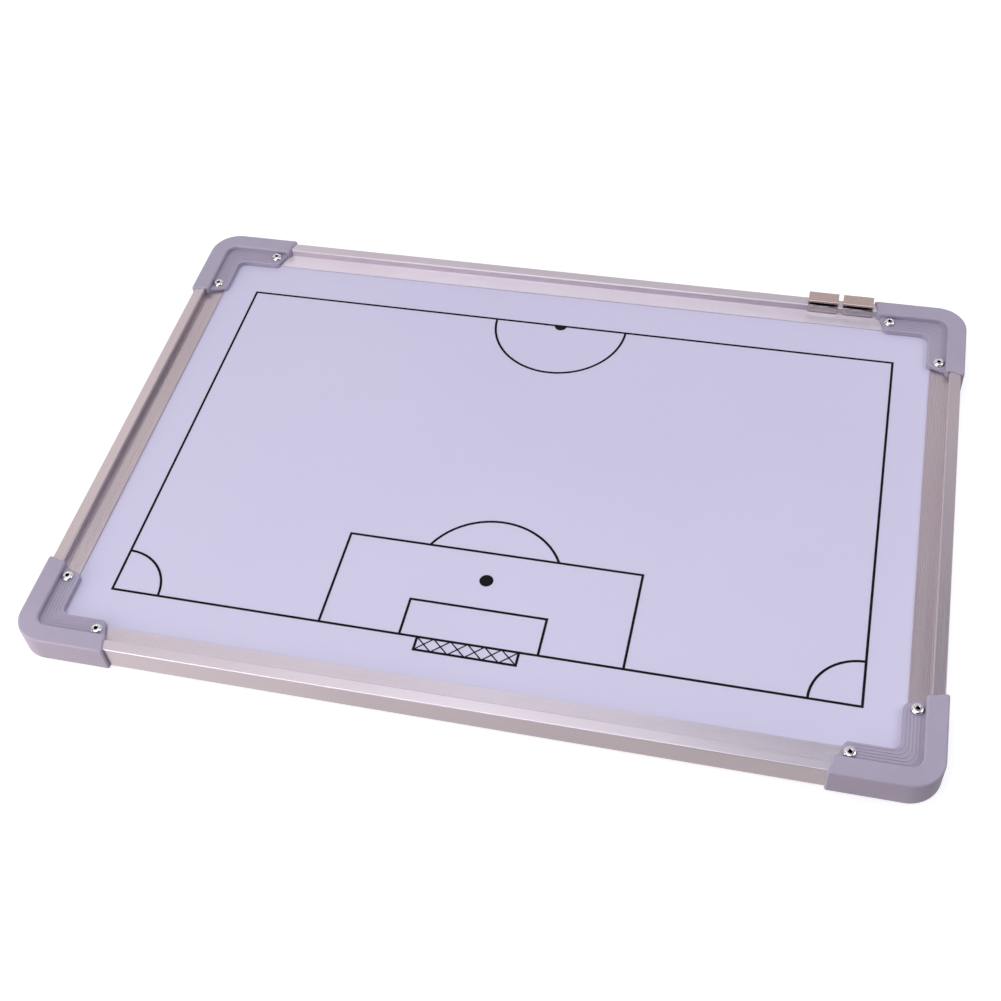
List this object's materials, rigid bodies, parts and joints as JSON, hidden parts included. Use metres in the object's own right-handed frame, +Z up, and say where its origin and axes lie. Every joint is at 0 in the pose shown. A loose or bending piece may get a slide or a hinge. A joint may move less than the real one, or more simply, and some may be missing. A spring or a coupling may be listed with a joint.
{
  "type": "tactics board",
  "caption": "Framed white magnetic board printed with a half football pitch, with ribbed aluminium rails, moulded corner caps and sliding hangers on the top rail.",
  "frame": {"origin": "on the table, under the middle of the board lying with its half pitch up", "axes": "+X along the long rails towards the hangers' end, +Y towards the rail with the hangers, +Z up out of the playing face"},
  "size_m": [0.45, 0.307, 0.0184],
  "materials": {
    "anodised_rail": "satin anodised",
    "cap_plastic": "fine-grained moulding",
    "key_plastic": "plain moulding",
    "print_ink": "printed film",
    "white_coat": "smooth wipe-clean coat",
    "core_fibre": "raw fibreboard",
    "rivet_plate": "bright plate",
    "hanger_nickel": "nickel plate over steel strip"
  },
  "bodies": {
    "board": {"bottom_rail": "anodised_rail", "right_rail": "anodised_rail", "top_rail": "anodised_rail", "left_rail": "anodised_rail", "corner_cap_bottom_left": "cap_plastic", "corner_cap_bottom_right": "cap_plastic", "corner_cap_top_right": "cap_plastic", "corner_cap_top_left": "cap_plastic", "corner_key_bottom_left": "key_plastic", "corner_key_bottom_right": "key_plastic", "corner_key_top_right": "key_plastic", "corner_key_top_left": "key_plastic", "pitch_print_front": "print_ink", "pitch_print_back": "print_ink", "front_sheet": "white_coat", "back_sheet": "white_coat", "core_board": "core_fibre", "corner_rivets": "rivet_plate"},
    "right_hanger": {"hanger_right": "hanger_nickel"},
    "left_hanger": {"hanger_left": "hanger_nickel"}
  },
  "joints": [
    {"name": "right_hanger_slide", "type": "slide", "parent": "board", "child": "right_hanger", "axis": [1, 0, 0], "range_m": [-0.1, 0]},
    {"name": "left_hanger_slide", "type": "slide", "parent": "right_hanger", "child": "left_hanger", "axis": [1, 0, 0], "range_m": [-0.21, 0.0023]}
  ]
}
